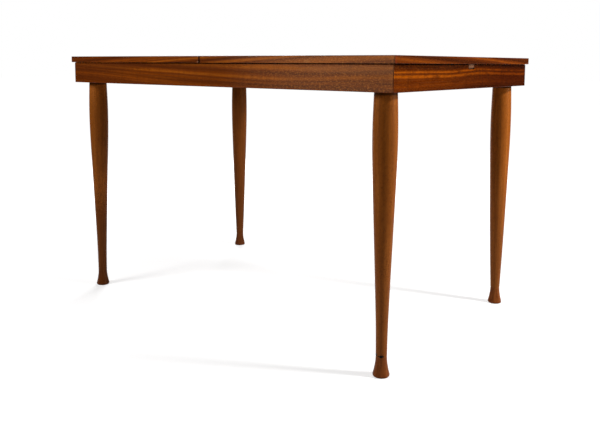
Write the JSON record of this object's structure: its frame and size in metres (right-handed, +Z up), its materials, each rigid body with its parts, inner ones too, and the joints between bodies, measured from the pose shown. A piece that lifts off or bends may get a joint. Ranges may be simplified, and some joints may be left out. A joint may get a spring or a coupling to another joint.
{
  "type": "extendable dining table",
  "caption": "Dining table with tapered round legs, flared feet and a divided top whose halves slide apart on runners to make room for a folding leaf stored below.",
  "frame": {"origin": "on the floor under the middle of the table", "axes": "+X along the table towards the right end, +Y across it towards the back, +Z up"},
  "size_m": [1.2, 0.774, 0.752],
  "materials": {
    "show_wood": "satin varnish",
    "leg_wood": "satin varnish",
    "foot_wood": "satin varnish",
    "bare_wood": "bare planed beech",
    "brass": "satin",
    "steel": "zinc plated",
    "fibre": "dark hard fibre",
    "rubber": "matt"
  },
  "bodies": {
    "frame": {"apron_back": "show_wood", "apron_front": "show_wood", "apron_left": "show_wood", "apron_right": "show_wood", "bearer_dowels": "bare_wood", "corner_block_back_left": "bare_wood", "corner_block_back_right": "bare_wood", "corner_block_front_left": "bare_wood", "corner_block_front_right": "bare_wood", "corner_block_screws": "steel", "end_glide_strips": "fibre", "foot_back_left": "foot_wood", "foot_back_right": "foot_wood", "foot_dowels": "bare_wood", "foot_front_left": "foot_wood", "foot_front_right": "foot_wood", "leaf_bearer_left": "bare_wood", "leaf_bearer_right": "bare_wood", "leaf_dowels": "bare_wood", "leaf_half_lower": "show_wood", "leaf_half_upper": "show_wood", "leaf_hinge_pins": "brass", "leaf_hinge_plates": "brass", "leaf_hinge_screws": "brass", "leaf_lipping_lower": "show_wood", "leaf_lipping_upper": "show_wood", "leaf_spacers": "rubber", "leaf_stops": "bare_wood", "leg_back_left": "leg_wood", "leg_back_right": "leg_wood", "leg_bolts": "steel", "leg_front_left": "leg_wood", "leg_front_right": "leg_wood", "leg_nuts": "steel", "leg_washers": "steel", "long_glide_strips": "fibre", "runner_back": "bare_wood", "runner_front": "bare_wood", "runner_screws": "steel"},
    "top_left": {"guide_bar_left": "bare_wood", "guide_screws_left": "steel", "lipping_left_back": "show_wood", "lipping_left_end": "show_wood", "lipping_left_front": "show_wood", "lipping_left_meeting": "show_wood", "locating_dowels": "bare_wood", "slide_bar_left_back": "bare_wood", "slide_bar_left_front": "bare_wood", "slide_screws_left": "steel", "top_panel_left": "show_wood"},
    "top_right": {"guide_bar_right": "bare_wood", "guide_screws_right": "steel", "lipping_right_back": "show_wood", "lipping_right_end": "show_wood", "lipping_right_front": "show_wood", "lipping_right_meeting": "show_wood", "slide_bar_right_back": "bare_wood", "slide_bar_right_front": "bare_wood", "slide_screws_right": "steel", "top_panel_right": "show_wood"}
  },
  "joints": [
    {"name": "top_left_slide", "type": "slide", "parent": "frame", "child": "top_left", "axis": [-1, 0, 0], "range_m": [0, 0.2]},
    {"name": "top_right_slide", "type": "slide", "parent": "frame", "child": "top_right", "axis": [1, 0, 0], "range_m": [0, 0.2]}
  ]
}
